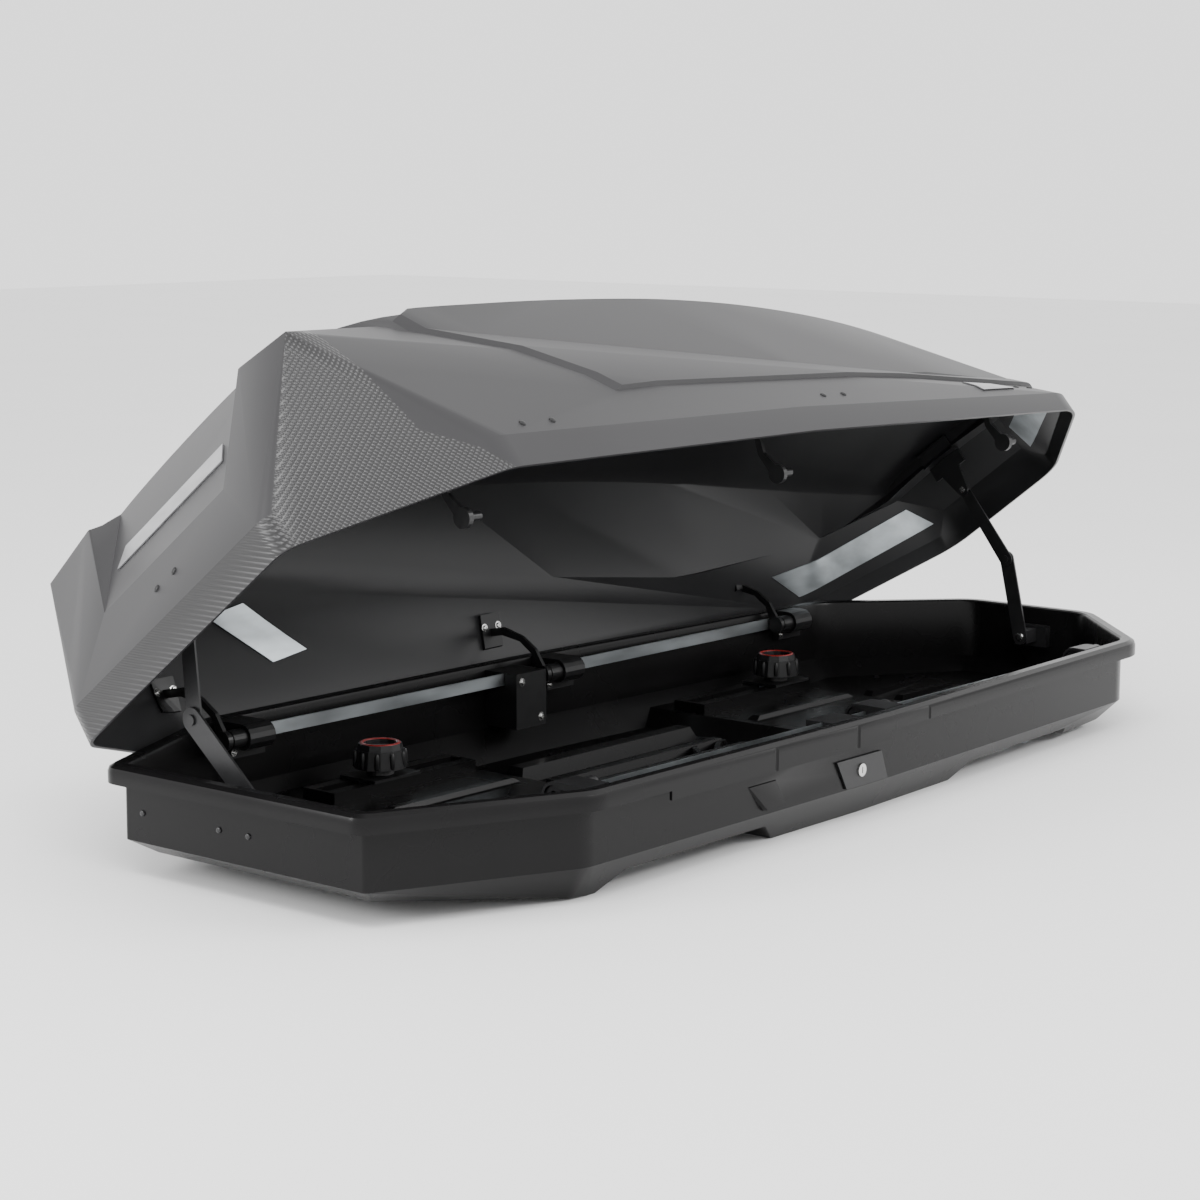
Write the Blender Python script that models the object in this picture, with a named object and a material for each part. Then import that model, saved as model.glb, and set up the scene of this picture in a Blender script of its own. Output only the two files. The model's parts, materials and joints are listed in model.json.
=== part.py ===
"""Roof cargo box whose lid opens from both sides, with its hinge, latch, lifter and clamp hardware."""

import math

import bmesh
import bpy
from mathutils import Matrix, Vector

# ---- driving dimensions, metres. The rim plane of the tray is z = 0 in the outline lists below. ----
RIM_Z = 0.146  # height of the rim plane above the lowest underside
GAP = 0.0003  # gap between pieces that touch
WALL = 0.004  # sheet thickness of tray and lid

HALF_L = 0.940  # tray outline, half length
HALF_W = 0.350  # half width of the straight sides
REAR_W = 0.222  # half width of the blunt rear end
REAR_X = -0.664  # where the rear chamfer meets the side
TAPER_X = -0.030  # where the sides start to taper
NOSE_SIDE_W = HALF_W - 0.034  # half width where the nose chamfer starts
NOSE_SIDE_X = 0.733
NOSE_W = 0.120  # half width of the nose end

SKIRT = 0.024  # drop of the rim's skirt
RIM_IN = 0.026  # inner wall inboard of the outline
WALL_LOW = 0.098  # depth where the walls turn into the lower chamfer
DEPTH = 0.146  # tray depth
LOW_IN = 0.033  # how far the lower chamfer steps in
# Underside of the tray: x, rise towards both ends.
KEEL = ((-0.900, 0.030), (-0.620, 0.0), (0.300, 0.0), (0.900, 0.024))
BAR_DEPTH = 0.120  # depth of the raised roof-bar channels
CHANNELS = ((-0.565, -0.271), (0.262, 0.560))
CHANNEL_SLOPE = 0.040

LID_GAP = 0.005  # lid wall outside the tray skirt
LID_LOW = -0.0187  # lower edge of the lid in its own outline lists
LID_RISE = 0.0147  # added to those lists, so that the closed lid just caps the rim
THETA = math.radians(37.9)  # lid angle at rest
HINGE_Y = HALF_W - 0.078  # hinge lines, inboard of the walls
HINGE_Z = -0.018
HINGE_X = (-0.645, 0.008, 0.610)
UNIT_NAMES = ("rear", "mid", "front")

TUBE_R = 0.0132
TUBE_L = 0.074
BORE_R = 0.0063
PIN_R = 0.0056
PIN_L = 0.0245
BOSS_R = 0.0135
BOSS_T = 0.008
SLIDE = 0.028  # travel of the latch bars
RUN = 0.0005  # running clearance

BAR_T = 0.0030
BAR_Y = HINGE_Y + TUBE_R + 0.0013 + BAR_T / 2  # the bar runs just behind the tubes
BAR_H = 0.018

LOCK_X = -0.075
LOCK_Z = -0.074
PLUG_R = 0.009

REAR_ARM_X = -0.884
FRONT_ARM_X = 0.868
ARM_T = 0.0035

RAIL_Z = -0.100
RAIL_W = 0.060
SLOT_W = 0.022
CLAMP_Y = 0.225
CLAMPS = (("rf", -0.440, 1), ("rn", -0.440, -1), ("ff", 0.500, 1), ("fn", 0.500, -1))
KNOB_R = 0.038
KNOB_H = 0.034
SPINDLE_R = 0.005
CLAW_Z = -0.1452

CORNERS = (
    (-HALF_L, -REAR_W, 0.030, 3),
    (REAR_X, -HALF_W, 0.090, 3),
    (TAPER_X, -HALF_W, 0.0, 0),
    (NOSE_SIDE_X, -NOSE_SIDE_W, 0.100, 3),
    (HALF_L, -NOSE_W, 0.080, 4),
)


def clear_scene():
    for obj in list(bpy.data.objects):
        bpy.data.objects.remove(obj, do_unlink=True)


def material(name, color, metallic, roughness):
    made = bpy.data.materials.new(name)
    made.use_nodes = True
    shader = made.node_tree.nodes["Principled BSDF"]
    shader.inputs["Base Color"].default_value = (*color, 1.0)
    shader.inputs["Metallic"].default_value = metallic
    shader.inputs["Roughness"].default_value = roughness
    return made


def new_object(name, bm):
    bmesh.ops.recalc_face_normals(bm, faces=bm.faces)
    mesh = bpy.data.meshes.new(name)
    bm.to_mesh(mesh)
    bm.free()
    obj = bpy.data.objects.new(name, mesh)
    bpy.context.scene.collection.objects.link(obj)
    return obj


def hull(name, points):
    bm = bmesh.new()
    for point in points:
        bm.verts.new(point)
    found = bmesh.ops.convex_hull(bm, input=bm.verts)
    spare = {v for v in found["geom_interior"] + found["geom_unused"] if isinstance(v, bmesh.types.BMVert)}
    bmesh.ops.delete(bm, geom=list(spare), context="VERTS")
    bmesh.ops.dissolve_limit(bm, angle_limit=0.002, verts=bm.verts, edges=bm.edges)
    return new_object(name, bm)


def box(name, low, high):
    xs, ys, zs = zip(low, high)
    return hull(name, [(x, y, z) for x in xs for y in ys for z in zs])


def circle(center, radius, count, start=0.0):
    return [
        (center[0] + radius * math.cos(start + math.tau * i / count),
         center[1] + radius * math.sin(start + math.tau * i / count))
        for i in range(count)
    ]


def rod_x(name, x0, x1, y, z, radius, count=24):
    ring = circle((y, z), radius, count, math.pi / count)
    return hull(name, [(x, a, b) for x in (x0, x1) for a, b in ring])


def rod_y(name, y0, y1, x, z, radius, count=24):
    ring = circle((x, z), radius, count, math.pi / count)
    return hull(name, [(a, y, b) for y in (y0, y1) for a, b in ring])


def rod_z(name, z0, z1, x, y, radius, count=24, top=None):
    low = circle((x, y), radius, count, math.pi / count)
    high = circle((x, y), top or radius, count, math.pi / count)
    return hull(name, [(a, b, z0) for a, b in low] + [(a, b, z1) for a, b in high])


def combine(obj, other, operation):
    """Boolean with another object, which is used up."""
    step = obj.modifiers.new(operation, "BOOLEAN")
    step.operation = operation
    step.solver = "EXACT"
    step.object = other
    bpy.context.view_layer.update()
    graph = bpy.context.evaluated_depsgraph_get()
    mesh = bpy.data.meshes.new_from_object(obj.evaluated_get(graph))
    obj.modifiers.clear()
    obj.data = mesh
    bpy.data.objects.remove(other, do_unlink=True)
    return obj


def add(obj, other):
    return combine(obj, other, "UNION")


def cut(obj, other):
    return combine(obj, other, "DIFFERENCE")


def keep(obj, other):
    return combine(obj, other, "INTERSECT")


# ---- plan outline ----


def corner_list():
    near = [list(c) for c in CORNERS]
    far = [[x, -y, r, n] for x, y, r, n in reversed(CORNERS)]
    return near + far


def grown(corners, off):
    """The corner points moved outward by off, with their radii."""
    out = []
    count = len(corners)
    for i, (x, y, r, n) in enumerate(corners):
        here = Vector((x, y))
        before = (here - Vector(corners[i - 1][:2])).normalized()
        after = (Vector(corners[(i + 1) % count][:2]) - here).normalized()
        n1 = Vector((before.y, -before.x))
        n2 = Vector((after.y, -after.x))
        mid = (n1 + n2).normalized()
        moved = here + mid * (off / mid.dot(n1))
        out.append((moved, max(r + off, 0.004) if n else 0.0, n, before, after))
    return out


def outline(off):
    """Points of the plan outline grown by off, the same count for every off, anticlockwise."""
    points = []
    for here, radius, count, before, after in grown(corner_list(), off):
        if not count:
            points.append((here.x, here.y))
            continue
        turn = before.angle_signed(after) * -1.0
        reach = radius * math.tan(abs(turn) / 2)
        center = here - before * reach + Vector((-before.y, before.x)) * radius
        start = math.atan2(-(Vector((-before.y, before.x))).y, -(Vector((-before.y, before.x))).x)
        for k in range(count + 1):
            angle = start + abs(turn) * k / count
            points.append((center.x + radius * math.cos(angle), center.y + radius * math.sin(angle)))
    return points


def ring(off, z):
    return [(x, y, z) for x, y in outline(off)]


def keel_ring(off, lift):
    """The outline at the underside's height, with extra points where it starts to rise."""
    xs, rises = zip(*KEEL)
    points = list(outline(off))
    for x in xs[1:-1]:
        points += [(x, half_width(x) + off), (x, -half_width(x) - off)]
    out = []
    for x, y in points:
        rear = (xs[1] - x) / (xs[1] - xs[0]) * rises[0]
        front = (x - xs[2]) / (xs[3] - xs[2]) * rises[3]
        out.append((x, y, -DEPTH + max(0.0, rear, front) + lift))
    return out


def half_width(x):
    """Half width of the side between the rear chamfer and the nose chamfer."""
    if x < REAR_X:
        return HALF_W - (REAR_X - x) * (HALF_W - REAR_W) / (REAR_X + HALF_L)
    if x < TAPER_X:
        return HALF_W
    return HALF_W - (x - TAPER_X) * (HALF_W - NOSE_SIDE_W) / (NOSE_SIDE_X - TAPER_X)


def loft(name, rings):
    """Closed solid through the rings, with both ends capped."""
    bm = bmesh.new()
    rows = [[bm.verts.new(p) for p in points] for points in rings]
    count = len(rows[0])
    for low, high in zip(rows, rows[1:]):
        for i in range(count):
            j = (i + 1) % count
            bm.faces.new((low[i], low[j], high[j], high[i]))
    bm.faces.new(rows[0])
    bm.faces.new(rows[-1])
    return new_object(name, bm)


# ---- tray ----


def channel_block(name, x0, x1, grow, z_low, z_top, half):
    slope = CHANNEL_SLOPE
    run = slope * (z_low + DEPTH + 0.001) / (DEPTH - BAR_DEPTH)
    points = []
    for y in (-half, half):
        points += [(x0 - grow, y, z_top), (x1 + grow, y, z_top)]
        points += [(x0 - grow - slope + run, y, z_low), (x1 + grow + slope - run, y, z_low)]
    return hull(name, points)


def inner_space(name, top=0.03):
    """The space inside the tray, GAP clear of its walls."""
    walls = ring(-RIM_IN - GAP, top) + ring(-RIM_IN - GAP, -WALL_LOW)
    return hull(name, walls + keel_ring(-RIM_IN - LOW_IN, WALL + GAP))


def make_tray():
    t = WALL
    outer = -RIM_IN + t
    tray = hull("tray", ring(0.0, -SKIRT) + ring(0.0, -0.007) + ring(-0.002, -0.002) + ring(-0.007, 0.0))
    cut(tray, hull("under_rim", ring(-t, -0.06) + ring(-t, -t)))
    walls = ring(outer, -t + 0.001) + ring(outer, -WALL_LOW) + keel_ring(outer - LOW_IN, 0.0)
    add(tray, hull("walls", walls))
    floor = keel_ring(-RIM_IN - LOW_IN + 0.001, t)
    cut(tray, hull("inside", ring(-RIM_IN, 0.01) + ring(-RIM_IN, -WALL_LOW + 0.0015) + floor))
    flare = [ring(-RIM_IN - 0.001, -0.012), ring(-RIM_IN, -0.005)]
    flare += [ring(-RIM_IN + 0.001, -0.0015), ring(-RIM_IN + 0.004, 0.0003)]
    cut(tray, loft("flare", flare))
    add_bar_channels(tray, outer - 0.002)
    for side in (-1, 1):
        near = sorted((side * (HALF_W - t), side * HALF_W))
        apron = [(x, y, z) for x in (-0.520, TAPER_X) for y in near for z in (-0.016, -0.036)]
        add(tray, hull("apron", apron))
        wall = sorted((side * (HALF_W - RIM_IN - 0.02), side * (HALF_W - RIM_IN + 0.02)))
        cut(tray, rod_y("lock_hole", wall[0], wall[1], LOCK_X, LOCK_Z, PLUG_R + 0.0025, 20))
    return tray


def add_bar_channels(tray, edge):
    """Raised floor over each roof bar, with a slotted rail at both sides and a seat for the bar."""
    t = WALL
    for x0, x1 in CHANNELS:
        raised = channel_block("raised", x0, x1, t, -DEPTH - 0.001, -BAR_DEPTH + t, HALF_W)
        body = ring(edge, -WALL_LOW) + ring(edge, -0.09) + keel_ring(edge - LOW_IN, 0.0012)
        add(tray, keep(raised, hull("body", body)))
    for x0, x1 in CHANNELS:
        below = channel_block("below", x0, x1, 0.0, -DEPTH - 0.001, -BAR_DEPTH, HALF_W)
        low = (x0 - CHANNEL_SLOPE, -HALF_W, -DEPTH - 0.05)
        high = (x1 + CHANNEL_SLOPE, HALF_W, -DEPTH - 0.0005)
        cut(tray, add(below, box("deep", low, high)))
        for side in (-1, 1):
            y0, y1 = sorted((side * (CLAMP_Y - RAIL_W / 2), side * (CLAMP_Y + RAIL_W / 2)))
            add(tray, box("rail", (x0 + 0.004, y0, -BAR_DEPTH + 0.002), (x1 - 0.004, y1, RAIL_Z)))
            y0, y1 = sorted((side * (CLAMP_Y - SLOT_W / 2), side * (CLAMP_Y + SLOT_W / 2)))
            cut(tray, box("slot", (x0 + 0.010, y0, -0.16), (x1 - 0.010, y1, -0.09)))
        middle = (x0 + x1) / 2
        low = (middle - 0.09, -0.160, -BAR_DEPTH - 0.003)
        add(tray, box("seat", low, (middle + 0.09, 0.160, -BAR_DEPTH + 0.002)))


# ---- lid, modelled closed ----


def rear_face_x(z):
    """Outer rear face of the lid, which leans forward above its band."""
    return -HALF_L - LID_GAP - WALL + (z - 0.030) * 0.575


ROOF = (
    # x, crown height, edge height, edge half width
    (-0.600, 0.299, 0.286, 0.238),
    (-0.400, 0.315, 0.292, 0.238),
    (-0.200, 0.320, 0.292, 0.236),
    (0.000, 0.314, 0.284, 0.235),
    (0.200, 0.299, 0.266, 0.230),
    (0.400, 0.270, 0.236, 0.220),
    (0.580, 0.230, 0.195, 0.204),
    (0.740, 0.182, 0.150, 0.176),
    (0.850, 0.127, 0.108, 0.136),
)
GROOVE = (
    # x, half width, height of the line where the raised panel meets the shoulder
    (-0.410, 0.300, 0.104),
    (0.150, 0.296, 0.096),
    (0.450, 0.282, 0.094),
    (0.760, 0.236, 0.088),
)


def band_ring(inset):
    """The crease above the upright band, with its height falling towards the nose."""
    points = []
    for x, y in outline(LID_GAP + WALL - 0.001 - inset):
        fall = min(max((x + HALF_L) / (2 * HALF_L), 0.0), 1.0)
        points.append((x, y, 0.030 - 0.018 * fall - inset))
    return points


def mirrored(points):
    return points + [(x, -y, z) for x, y, z in points]


def end_shift(x, inset, rear, front):
    """How far a point near either end moves inward for the given inset."""
    if x < rear:
        return 0.9 * inset
    return -0.9 * inset if x > front else 0.0


def shoulder_body(inset, low):
    """Lower shell of the lid: band, sloped shoulders, blunt rear and nose."""
    points = ring(LID_GAP + WALL - inset, low) + band_ring(inset)
    upper = [
        (-0.828, 0.284, 0.243),
        (-0.820, 0.185, 0.260),
        (-0.600, 0.236, 0.274),
        (-0.400, 0.296, 0.100),
        (0.150, 0.290, 0.096),
        (0.450, 0.276, 0.093),
        (0.760, 0.232, 0.095),
        (0.868, 0.130, 0.092),
        (0.936, 0.100, 0.046),
    ]
    upper = [(x + end_shift(x, inset, -0.7, 0.7), y - inset, z - inset) for x, y, z in upper]
    upper.append((-0.815 + inset * 0.9, 0.0, 0.268 - inset))
    upper.append((0.880 - inset * 0.9, 0.0, 0.100 - inset))
    return hull("shoulder", points + mirrored(upper))


def panel_body(inset):
    """Raised panel on top of the lid."""
    points = []
    for x, y, z in GROOVE:
        x += end_shift(x, inset, -0.3, 0.7)
        points += [(x, y - inset, z - inset), (x, y - inset - 0.03, 0.03)]
    for x, crown, edge, half in ROOF:
        x += end_shift(x, inset, -0.5, 0.7)
        points += [(x, half - inset, edge - inset)]
        points += [(x, half * 0.62, edge + (crown - edge) * 0.72 - inset)]
        points += [(x, 0.0, crown - inset)]
    rear = -0.812 + inset * 0.9
    points += [(rear, 0.168, 0.263 - inset), (rear, 0.0, 0.277 - inset)]
    points += [(-0.78, 0.12, 0.05), (0.80, 0.10, 0.03)]
    return hull("panel", mirrored(points))


def recess(grow):
    """Wedge cut into the rear face: flush at its foot, deep at the top."""
    foot_z = 0.118 - grow
    foot_x = rear_face_x(foot_z) + grow
    top_z = 0.300
    top_x = rear_face_x(top_z) + 0.052 + grow
    points = []
    for side in (-1, 1):
        points += [(foot_x, side * (0.140 + grow), foot_z), (top_x, side * (0.176 + grow), top_z)]
        points += [(-1.05, side * (0.140 + grow), foot_z), (-1.05, side * (0.215 + grow), top_z)]
        points += [(top_x - 0.05, side * (0.192 + grow), top_z)]
    return hull("recess", points)


def lid_solid(inset, low):
    """The lid's filled shape, its surface inset by the given amount."""
    solid = cut(add(shoulder_body(inset, low), panel_body(inset)), recess(inset))
    solid.data.transform(Matrix.Translation((0.0, 0.0, LID_RISE)))
    return solid


PANEL_PROUD = 0.005  # height of the raised panel over the shoulders
PANEL_CORNER = (-0.590, -0.240, 0.275)  # where its rear step meets the roof
PANEL_FOOT = (-0.452, -0.338, 0.086)  # where its rear step meets the groove
PANEL_NOSE = (0.450, -0.280, 0.100)
PANEL_FRONT = (0.860, 0.0, 0.095)
SIDE_WAY = Vector((0.0, -0.948, 0.318))  # the near side's outward direction
STEP_SLOPE = math.radians(24.0)
GROOVE_SLOPE = math.radians(65.0)


def beyond(point, way):
    """Large block on the far side of a plane."""
    block = box("beyond", (-3.0, -3.0, 0.0), (3.0, 3.0, 3.0))
    turn = Vector(way).to_track_quat("Z", "Y").to_matrix().to_4x4()
    block.data.transform(Matrix.Translation(point) @ turn)
    return block


def raised_panel():
    """The proud part of the lid: a sloping step at its rear, a groove along each shoulder."""
    panel = lid_solid(-PANEL_PROUD, 0.0)
    panel.data.transform(Matrix.Translation((0.0, 0.0, -LID_RISE)))
    corner, foot, nose = Vector(PANEL_CORNER), Vector(PANEL_FOOT), Vector(PANEL_NOSE)
    cut(panel, beyond(corner, (-math.sin(STEP_SLOPE), 0.0, math.cos(STEP_SLOPE))))
    cut(panel, beyond((corner.x - 0.010, 0.0, 0.0), (-1.0, 0.0, 0.0)))
    cut(panel, beyond(PANEL_FRONT, (0.6, 0.0, -0.8)))
    for start, end, slope in ((corner, foot, STEP_SLOPE), (foot, nose, GROOVE_SLOPE)):
        ahead = SIDE_WAY.cross((end - start).normalized())
        way = SIDE_WAY * math.cos(slope) - ahead * math.sin(slope)
        for side in (1.0, -1.0):
            cut(panel, beyond((start.x, start.y * side, start.z), (way.x, way.y * side, way.z)))
    panel.data.transform(Matrix.Translation((0.0, 0.0, LID_RISE)))
    return panel


def make_lid():
    lid = add(lid_solid(0.0, LID_LOW), raised_panel())
    hollow = lid_solid(WALL, -0.06)
    lid = cut(lid, hollow)
    lid.name = "lid"
    return lid


# ---- hinge and latch units ----


def capsule(name, x0, x1, start, end, r0, r1, count=14):
    """Flat link in the YZ plane between two round ends."""
    flat = circle(start, r0, count) + circle(end, r1, count)
    return hull(name, [(x, y, z) for x in (x0, x1) for y, z in flat])


def make_lid_bracket(name, hx, side):
    """Arm under the lid with a round boss and a pin that points to the nose."""
    x1 = hx - TUBE_L / 2 - 0.0025
    x0 = x1 - BOSS_T
    chain = ((0.0, 0.0), (-0.006, 0.037), (0.004, 0.066), (0.028, 0.094), (0.080, 0.120))
    line = [(side * (HINGE_Y + dy), HINGE_Z + dz) for dy, dz in chain]
    bracket = rod_x(name, x0, x1, side * HINGE_Y, HINGE_Z, BOSS_R)
    radii = (0.0085, 0.0050, 0.0045, 0.0060, 0.0060)
    for k in range(4):
        add(bracket, capsule("arm", x0 + 0.001, x1 - 0.001, line[k], line[k + 1], radii[k], radii[k + 1]))
    foot = ((0.020, 0.052), (0.080, 0.052), (0.080, 0.098), (0.004, 0.098))
    foot = [(side * (HINGE_Y + dy), z + LID_RISE) for dy, z in foot]
    pad = hull("pad", [(x, y, z) for x in (x0 - 0.016, x1 + 0.016) for y, z in foot])
    inner = lid_solid(WALL + 0.0035, -0.10)
    add(bracket, cut(pad, inner))
    add(bracket, rod_x("pin", x1 - 0.002, x1 + PIN_L, side * HINGE_Y, HINGE_Z, PIN_R, 20))
    bracket = keep(bracket, lid_solid(WALL + 0.0004, -0.10))
    bracket.name = name
    return bracket


def make_sleeve(name, hx, side, shift):
    """Sliding tube that covers the lid's pin, with a lug beside the latch bar."""
    y = side * HINGE_Y
    x0 = hx - TUBE_L / 2 + shift
    sleeve = rod_x(name, x0, x0 + TUBE_L, y, HINGE_Z, TUBE_R)
    lug = sorted((side * (HINGE_Y + TUBE_R - 0.0037), side * (BAR_Y - BAR_T / 2 - GAP)))
    add(sleeve, box("lug", (x0 + 0.028, lug[0], HINGE_Z - 0.005), (x0 + 0.052, lug[1], HINGE_Z + 0.005)))
    cut(sleeve, rod_x("bore", x0 - 0.01, x0 + TUBE_L - 0.012, y, HINGE_Z, BORE_R))
    cut(sleeve, box("slot", (x0 + 0.036, y - 0.0035, HINGE_Z), (x0 + 0.054, y + 0.0035, HINGE_Z + 0.02)))
    return sleeve


def make_housing(name, hx, side):
    """Block on the tray wall that guides the sleeve and lets the bar pass behind it."""
    x0, x1 = hx - 0.012, hx + 0.034
    wall = HALF_W + 0.01
    section = [(HINGE_Y + a, HINGE_Z + b) for a, b in circle((0, 0), TUBE_R + 0.0046, 16)]
    section += [(wall, HINGE_Z - TUBE_R - 0.0043), (wall, HINGE_Z + TUBE_R + 0.0033)]
    housing = hull(name, [(x, side * y, z) for x in (x0, x1) for y, z in section])
    foot = sorted((side * (HINGE_Y + 0.012), side * wall))
    low = (x0 - 0.008, foot[0], HINGE_Z - 0.030)
    add(housing, box("flange", low, (x1 + 0.008, foot[1], HINGE_Z - 0.0125)))
    cut(housing, rod_x("bore", x0 - 0.02, x1 + 0.02, side * HINGE_Y, HINGE_Z, TUBE_R + RUN))
    gap = sorted((side * HINGE_Y, side * (BAR_Y + BAR_T / 2 + 0.001)))
    reach = BAR_H / 2 + RUN
    cut(housing, box("gap", (x0 - 0.02, gap[0], HINGE_Z - reach), (x1 + 0.02, gap[1], HINGE_Z + reach)))
    keep(housing, inner_space("space"))
    return housing


def make_bar(name, side, shift):
    y = sorted((side * (BAR_Y - BAR_T / 2), side * (BAR_Y + BAR_T / 2)))
    x0 = HINGE_X[0] - TUBE_L / 2 + 0.020 + shift
    x1 = HINGE_X[2] + TUBE_L / 2 - 0.006 + shift
    return box(name, (x0, y[0], HINGE_Z - BAR_H / 2), (x1, y[1], HINGE_Z + BAR_H / 2))


# ---- locks ----


def make_lock_case(name, side):
    y = sorted((side * (HALF_W - 0.088), side * (HALF_W + 0.01)))
    case = box(name, (LOCK_X - 0.034, y[0], -0.092), (LOCK_X + 0.034, y[1], -0.008))
    gap = sorted((side * (BAR_Y - BAR_T / 2 - 0.001), side * (BAR_Y + BAR_T / 2 + 0.001)))
    reach = BAR_H / 2 + RUN
    low = (LOCK_X - 0.05, gap[0], HINGE_Z - reach)
    cut(case, box("gap", low, (LOCK_X + 0.05, gap[1], HINGE_Z + reach)))
    bore = sorted((side * BAR_Y, side * (HALF_W + 0.02)))
    cut(case, rod_y("bore", bore[0], bore[1], LOCK_X, LOCK_Z, PLUG_R + RUN, 20))
    return keep(case, inner_space("space"))


def make_escutcheon(name, side):
    y0 = HALF_W - RIM_IN + WALL + GAP
    flat = ((-0.058, -0.055), (0.050, -0.055), (0.066, -0.096), (-0.034, -0.096))
    plate = hull(name, [(LOCK_X + x, side * y, z) for y in (y0, y0 + 0.003) for x, z in flat])
    ends = sorted((side * (y0 - 0.01), side * (y0 + 0.01)))
    return cut(plate, rod_y("bore", ends[0], ends[1], LOCK_X, LOCK_Z, PLUG_R + RUN, 20))


def make_plug(name, side):
    y0 = HALF_W - RIM_IN + WALL + GAP + 0.0055
    ends = sorted((side * (BAR_Y + 0.002), side * y0))
    plug = rod_y(name, ends[0], ends[1], LOCK_X, LOCK_Z, PLUG_R, 20)
    key = sorted((side * (y0 - 0.004), side * (y0 + 0.01)))
    low = (LOCK_X - 0.0011, key[0], LOCK_Z - 0.0045)
    return cut(plug, box("keyway", low, (LOCK_X + 0.0011, key[1], LOCK_Z + 0.0045)))


# ---- lid lifters: tray pivot, knee and lid pivot in the YZ plane ----

REAR_T = (-0.010, -0.052)
REAR_KNEE = (0.120, 0.060)
REAR_P = (0.000, 0.114)  # with the lid closed
FRONT_T = (-0.020, -0.045)
FRONT_KNEE = (0.010, 0.086)
FRONT_P = (0.000, 0.044)


def opened(point):
    """A closed-lid point in the YZ plane, turned to the rest angle about the far hinge line."""
    dy = point[0] - HINGE_Y
    dz = point[1] - HINGE_Z
    c, s = math.cos(THETA), math.sin(THETA)
    return (HINGE_Y + dy * c + dz * s, HINGE_Z - dy * s + dz * c)


def make_arm(name, x0, x1, start, end, r0, r1):
    arm = capsule(name, x0, x1, start, end, r0, r1, 16)
    cut(arm, rod_x("hole", x0 - 0.01, x1 + 0.01, start[0], start[1], 0.0046, 16))
    return arm


def make_rear_lifter():
    a = REAR_ARM_X
    lower = make_arm("rear_lifter_lower_arm", a, a + ARM_T, REAR_T, REAR_KNEE, 0.015, 0.016)
    add(lower, rod_x("screw", a - 0.003, a + 0.001, REAR_KNEE[0], REAR_KNEE[1], 0.007, 16))
    b = a + ARM_T + RUN
    upper = make_arm("rear_lifter_upper_arm", b, b + ARM_T - 0.0005, opened(REAR_P), REAR_KNEE, 0.011, 0.013)
    ty, tz = REAR_T
    low = (-HALF_L, ty - 0.030, tz - 0.022)
    tray_bracket = box("rear_lifter_tray_bracket", low, (-0.900, ty + 0.030, tz + 0.018))
    low = (-0.905, ty - 0.012, tz - 0.012)
    add(tray_bracket, box("ear", low, (a - RUN, ty + 0.012, tz + 0.012)))
    add(tray_bracket, rod_x("pin", a - 0.002, a + ARM_T + 0.004, ty, tz, 0.004, 16))
    keep(tray_bracket, inner_space("space"))
    y, z = REAR_P
    low = (-0.96, y - 0.012, z - 0.012)
    lid_bracket = box("rear_lifter_lid_bracket", low, (b - RUN, y + 0.012, z + 0.012))
    plate = box("plate", (-0.96, y - 0.034, z - 0.030), (-0.84, y + 0.034, z + 0.016))
    add(lid_bracket, cut(plate, lid_solid(WALL + 0.004, -0.10)))
    add(lid_bracket, rod_x("pin", b - 0.002, b + ARM_T + 0.003, y, z, 0.004, 16))
    keep(lid_bracket, lid_solid(WALL + 0.0004, -0.10))
    return lower, upper, tray_bracket, lid_bracket


def make_front_lifter():
    a = FRONT_ARM_X
    lower = make_arm("front_lifter_lower_arm", a - ARM_T, a, FRONT_T, FRONT_KNEE, 0.013, 0.013)
    b = a - ARM_T - RUN
    lid_end = opened(FRONT_P)
    upper = make_arm("front_lifter_upper_arm", b - ARM_T + 0.0005, b, lid_end, FRONT_KNEE, 0.010, 0.012)
    add(upper, rod_x("screw", b - ARM_T - 0.002, b - 0.001, FRONT_KNEE[0], FRONT_KNEE[1], 0.006, 16))
    ty, tz = FRONT_T
    low = (0.900, ty - 0.030, tz - 0.020)
    tray_bracket = box("front_lifter_tray_bracket", low, (HALF_L, ty + 0.030, tz + 0.016))
    low = (a + RUN, ty - 0.011, tz - 0.011)
    add(tray_bracket, box("ear", low, (0.904, ty + 0.011, tz + 0.011)))
    add(tray_bracket, rod_x("pin", a - ARM_T - 0.004, a + 0.002, ty, tz, 0.004, 16))
    keep(tray_bracket, inner_space("space"))
    y, z = FRONT_P
    x1 = b - ARM_T + 0.0005 - RUN
    x0 = x1 - 0.005
    flat = circle((y, z), 0.011, 14) + [(y - 0.032, 0.134), (y + 0.032, 0.134)]
    lid_bracket = hull("front_lifter_lid_bracket", [(x, p, q) for x in (x0, x1) for p, q in flat])
    add(lid_bracket, box("plate", (x0 - 0.020, y - 0.034, 0.082), (x1, y + 0.034, 0.134)))
    hollow = lid_solid(WALL + 0.0045, -0.10)
    saver = box("saver", (x0, y - 0.05, -0.1), (x1 + 0.001, y + 0.05, 0.2))
    cut(lid_bracket, cut(hollow, saver))
    add(lid_bracket, rod_x("pin", x1 - 0.002, b + 0.001, y, z, 0.004, 16))
    keep(lid_bracket, lid_solid(WALL + 0.0004, -0.10))
    return lower, upper, tray_bracket, lid_bracket


# ---- roof-bar clamps ----


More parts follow.
